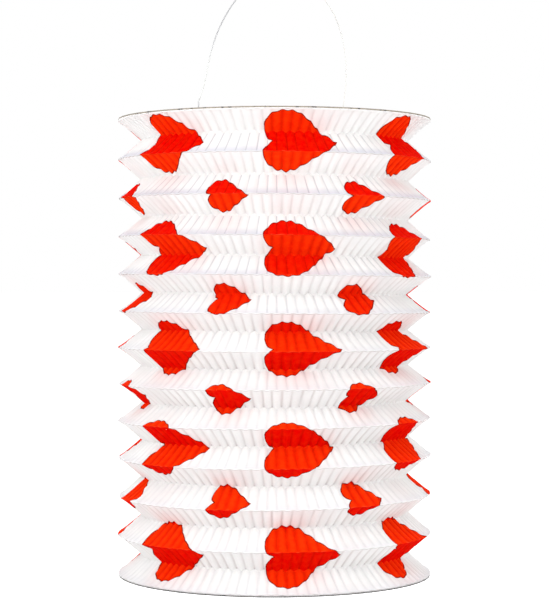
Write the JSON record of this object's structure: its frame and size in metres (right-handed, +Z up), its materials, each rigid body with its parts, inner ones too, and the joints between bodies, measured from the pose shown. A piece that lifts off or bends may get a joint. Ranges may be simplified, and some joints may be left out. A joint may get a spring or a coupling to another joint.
{
  "type": "accordion paper lantern",
  "caption": "Cylindrical pleated paper lantern with a heart print, an open card ring at the top, a card base with a candle holder, and a swinging wire handle.",
  "frame": {"origin": "centre of the underside of the base", "axes": "+Z up along the lantern's axis, +X along the handle's pivot, +Y across it"},
  "size_m": [0.16, 0.16, 0.3038],
  "materials": {
    "printed_paper": "matt white paper, finely crimped, with red hearts printed on it",
    "grey_card": "matt grey card with a cut edge",
    "tinplate": "bright stamped tin",
    "steel_wire": "bare drawn wire"
  },
  "bodies": {
    "ring": {"top_ring": "grey_card", "paper_top_flange": "printed_paper"},
    "handle": {"wire_handle": "steel_wire"},
    "fold_01": {"pleat_01": "printed_paper"},
    "fold_02": {"pleat_02": "printed_paper"},
    "fold_03": {"pleat_03": "printed_paper"},
    "fold_04": {"pleat_04": "printed_paper"},
    "fold_05": {"pleat_05": "printed_paper"},
    "fold_06": {"pleat_06": "printed_paper"},
    "fold_07": {"pleat_07": "printed_paper"},
    "fold_08": {"pleat_08": "printed_paper"},
    "fold_09": {"pleat_09": "printed_paper"},
    "fold_10": {"pleat_10": "printed_paper"},
    "fold_11": {"pleat_11": "printed_paper"},
    "fold_12": {"pleat_12": "printed_paper"},
    "base": {"paper_bottom_flange": "printed_paper", "base_disc": "grey_card", "candle_holder": "tinplate"}
  },
  "joints": [
    {"name": "base_slide", "type": "slide", "parent": "ring", "child": "base", "axis": [0, 0, 1], "range_m": [0, 0.2079], "stiffness_N_per_m": 60},
    {"name": "handle_swing", "type": "hinge", "parent": "ring", "child": "handle", "pos_m": [0, 0, 0.2325], "axis": [1, 0, 0], "range_deg": [-75, 75]},
    {"name": "fold_01_slide", "type": "slide", "parent": "ring", "child": "fold_01", "axis": [0, 0, 1], "range_m": [0, 0.00866], "deforming": ["pleat_01"]},
    {"name": "fold_02_slide", "type": "slide", "parent": "ring", "child": "fold_02", "axis": [0, 0, 1], "range_m": [0, 0.02599], "deforming": ["pleat_02"]},
    {"name": "fold_03_slide", "type": "slide", "parent": "ring", "child": "fold_03", "axis": [0, 0, 1], "range_m": [0, 0.04331], "deforming": ["pleat_03"]},
    {"name": "fold_04_slide", "type": "slide", "parent": "ring", "child": "fold_04", "axis": [0, 0, 1], "range_m": [0, 0.06064], "deforming": ["pleat_04"]},
    {"name": "fold_05_slide", "type": "slide", "parent": "ring", "child": "fold_05", "axis": [0, 0, 1], "range_m": [0, 0.07796], "deforming": ["pleat_05"]},
    {"name": "fold_06_slide", "type": "slide", "parent": "ring", "child": "fold_06", "axis": [0, 0, 1], "range_m": [0, 0.09529], "deforming": ["pleat_06"]},
    {"name": "fold_07_slide", "type": "slide", "parent": "ring", "child": "fold_07", "axis": [0, 0, 1], "range_m": [0, 0.11261], "deforming": ["pleat_07"]},
    {"name": "fold_08_slide", "type": "slide", "parent": "ring", "child": "fold_08", "axis": [0, 0, 1], "range_m": [0, 0.12994], "deforming": ["pleat_08"]},
    {"name": "fold_09_slide", "type": "slide", "parent": "ring", "child": "fold_09", "axis": [0, 0, 1], "range_m": [0, 0.14726], "deforming": ["pleat_09"]},
    {"name": "fold_10_slide", "type": "slide", "parent": "ring", "child": "fold_10", "axis": [0, 0, 1], "range_m": [0, 0.16459], "deforming": ["pleat_10"]},
    {"name": "fold_11_slide", "type": "slide", "parent": "ring", "child": "fold_11", "axis": [0, 0, 1], "range_m": [0, 0.18191], "deforming": ["pleat_11"]},
    {"name": "fold_12_slide", "type": "slide", "parent": "ring", "child": "fold_12", "axis": [0, 0, 1], "range_m": [0, 0.19924], "deforming": ["pleat_12"]}
  ],
  "couplings": [
    {"joint": "fold_01_slide", "follows": "base_slide", "ratio": 0.041667},
    {"joint": "fold_02_slide", "follows": "base_slide", "ratio": 0.125},
    {"joint": "fold_03_slide", "follows": "base_slide", "ratio": 0.20833},
    {"joint": "fold_04_slide", "follows": "base_slide", "ratio": 0.29167},
    {"joint": "fold_05_slide", "follows": "base_slide", "ratio": 0.375},
    {"joint": "fold_06_slide", "follows": "base_slide", "ratio": 0.45833},
    {"joint": "fold_07_slide", "follows": "base_slide", "ratio": 0.54167},
    {"joint": "fold_08_slide", "follows": "base_slide", "ratio": 0.625},
    {"joint": "fold_09_slide", "follows": "base_slide", "ratio": 0.70833},
    {"joint": "fold_10_slide", "follows": "base_slide", "ratio": 0.79167},
    {"joint": "fold_11_slide", "follows": "base_slide", "ratio": 0.875},
    {"joint": "fold_12_slide", "follows": "base_slide", "ratio": 0.95833}
  ]
}
